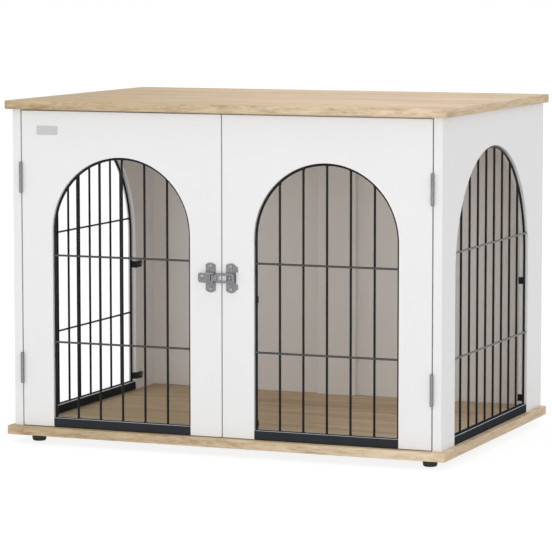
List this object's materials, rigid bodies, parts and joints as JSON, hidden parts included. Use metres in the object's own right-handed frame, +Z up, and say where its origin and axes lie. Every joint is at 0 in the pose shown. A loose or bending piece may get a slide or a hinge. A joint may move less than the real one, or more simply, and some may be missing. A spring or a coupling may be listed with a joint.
{
  "type": "dog crate end table",
  "caption": "Dog crate end table: white cabinet with arched openings closed by black wire grilles, hinged front doors with a toggle latch, and an oak-look top and base on small round feet",
  "frame": {"origin": "on the floor under the middle of the top and base", "axes": "+X to the right along the longest side, +Y from the doors to the back, +Z up; the doors and latch face -Y"},
  "size_m": [0.8, 0.565, 0.593],
  "materials": {
    "oak_laminate": "matte",
    "white_laminate": "satin",
    "black_wire": "satin",
    "zinc_steel": "satin",
    "black_plastic": "matte"
  },
  "bodies": {
    "cabinet": {"back_panel": "white_laminate", "back_post": "white_laminate", "back_screw_left_lower": "zinc_steel", "back_screw_left_upper": "zinc_steel", "back_screw_middle_lower": "zinc_steel", "back_screw_middle_upper": "zinc_steel", "back_screw_right_lower": "zinc_steel", "back_screw_right_upper": "zinc_steel", "base_panel": "oak_laminate", "base_screw_left_back": "zinc_steel", "base_screw_left_front": "zinc_steel", "base_screw_right_back": "zinc_steel", "base_screw_right_front": "zinc_steel", "cam_bolt_left_back": "zinc_steel", "cam_bolt_left_front": "zinc_steel", "cam_bolt_right_back": "zinc_steel", "cam_bolt_right_front": "zinc_steel", "cam_lock_left_back": "zinc_steel", "cam_lock_left_front": "zinc_steel", "cam_lock_right_back": "zinc_steel", "cam_lock_right_front": "zinc_steel", "foot_left_back": "black_plastic", "foot_left_front": "black_plastic", "foot_right_back": "black_plastic", "foot_right_front": "black_plastic", "foot_screw_left_back": "zinc_steel", "foot_screw_left_front": "zinc_steel", "foot_screw_right_back": "zinc_steel", "foot_screw_right_front": "zinc_steel", "left_lower_hinge_cabinet_leaf": "zinc_steel", "left_lower_hinge_pin": "zinc_steel", "left_side_grille": "black_wire", "left_side_panel": "white_laminate", "left_upper_hinge_cabinet_leaf": "zinc_steel", "left_upper_hinge_pin": "zinc_steel", "right_lower_hinge_cabinet_leaf": "zinc_steel", "right_lower_hinge_pin": "zinc_steel", "right_side_grille": "black_wire", "right_side_panel": "white_laminate", "right_upper_hinge_cabinet_leaf": "zinc_steel", "right_upper_hinge_pin": "zinc_steel", "top_panel": "oak_laminate"},
    "left_door": {"latch_base": "zinc_steel", "latch_base_screw_lower": "zinc_steel", "latch_base_screw_upper": "zinc_steel", "latch_lever_pin": "zinc_steel", "left_door_grille": "black_wire", "left_door_panel": "white_laminate", "left_lower_hinge_door_leaf": "zinc_steel", "left_upper_hinge_door_leaf": "zinc_steel"},
    "right_door": {"latch_catch": "zinc_steel", "latch_catch_screw_lower": "zinc_steel", "latch_catch_screw_upper": "zinc_steel", "right_door_grille": "black_wire", "right_door_panel": "white_laminate", "right_lower_hinge_door_leaf": "zinc_steel", "right_upper_hinge_door_leaf": "zinc_steel"},
    "latch_lever": {"latch_lever": "zinc_steel", "latch_loop_pin": "zinc_steel"},
    "latch_loop": {"latch_loop": "zinc_steel"}
  },
  "joints": [
    {"name": "left_door_hinge", "type": "hinge", "parent": "cabinet", "child": "left_door", "pos_m": [-0.3738, -0.274, 0.296], "axis": [0, 0, -1], "range_deg": [0, 180]},
    {"name": "right_door_hinge", "type": "hinge", "parent": "cabinet", "child": "right_door", "pos_m": [0.3738, -0.274, 0.296], "axis": [0, 0, 1], "range_deg": [0, 180]},
    {"name": "latch_lever_pivot", "type": "hinge", "parent": "left_door", "child": "latch_lever", "pos_m": [-0.0113, -0.2745, 0.302], "axis": [0, 0, 1], "range_deg": [0, 90]},
    {"name": "latch_loop_pivot", "type": "hinge", "parent": "latch_lever", "child": "latch_loop", "pos_m": [-0.0149, -0.2769, 0.302], "axis": [0, 0, 1], "range_deg": [-108, 0]}
  ],
  "couplings": [
    {"joint": "latch_loop_pivot", "follows": "latch_lever_pivot", "ratio": -1.2}
  ]
}
